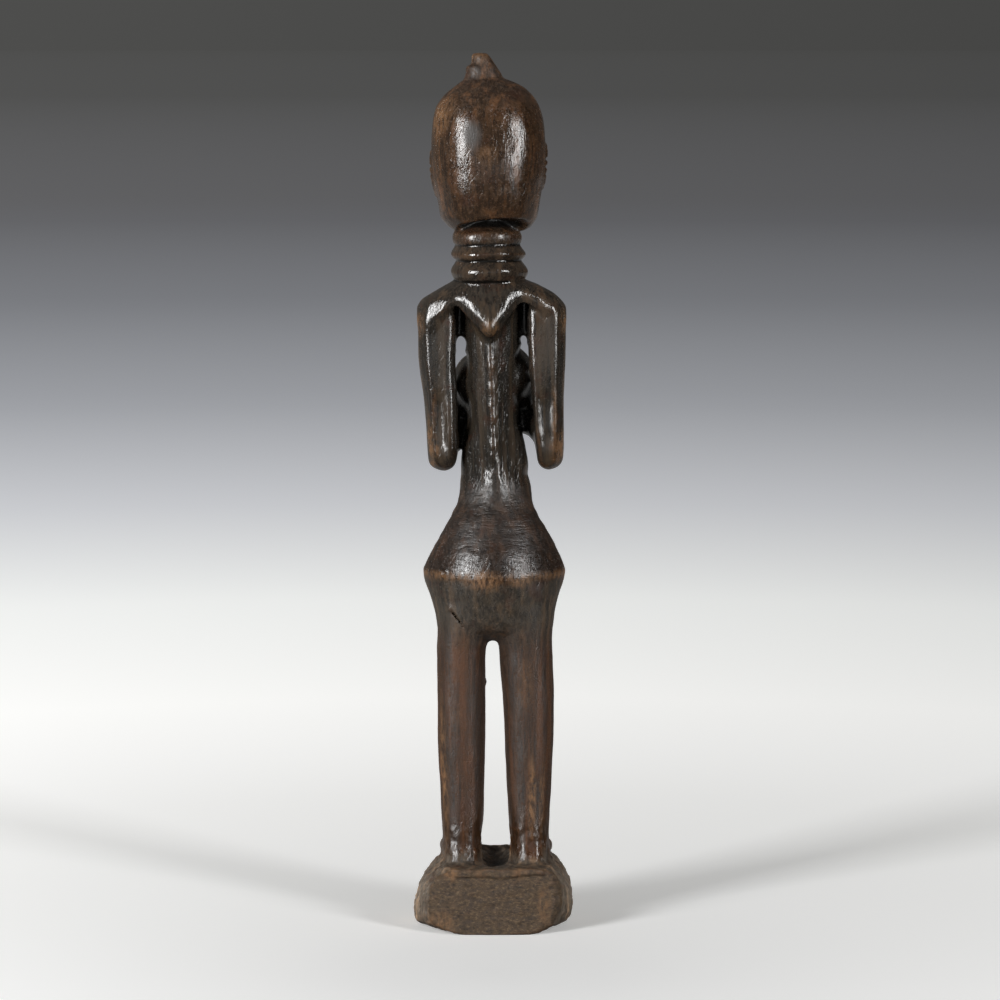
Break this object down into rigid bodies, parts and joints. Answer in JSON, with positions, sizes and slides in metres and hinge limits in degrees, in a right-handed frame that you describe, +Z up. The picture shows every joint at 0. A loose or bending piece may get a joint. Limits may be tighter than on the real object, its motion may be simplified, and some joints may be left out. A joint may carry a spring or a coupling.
{
  "type": "lulua figure",
  "caption": "Slender standing female figure on a domed base, carved from one block of dark wood, with folded arms, ringed neck and small topknot.",
  "frame": {"origin": "middle of the flat underside of the base", "axes": "+Z up from the base to the topknot; the figure faces -Y, so +Y is its back; +X towards its own left arm"},
  "size_m": [0.0546, 0.0496, 0.3],
  "materials": {
    "dark_wood": "oiled"
  },
  "bodies": {
    "root": {"figure": "dark_wood"}
  },
  "joints": []
}
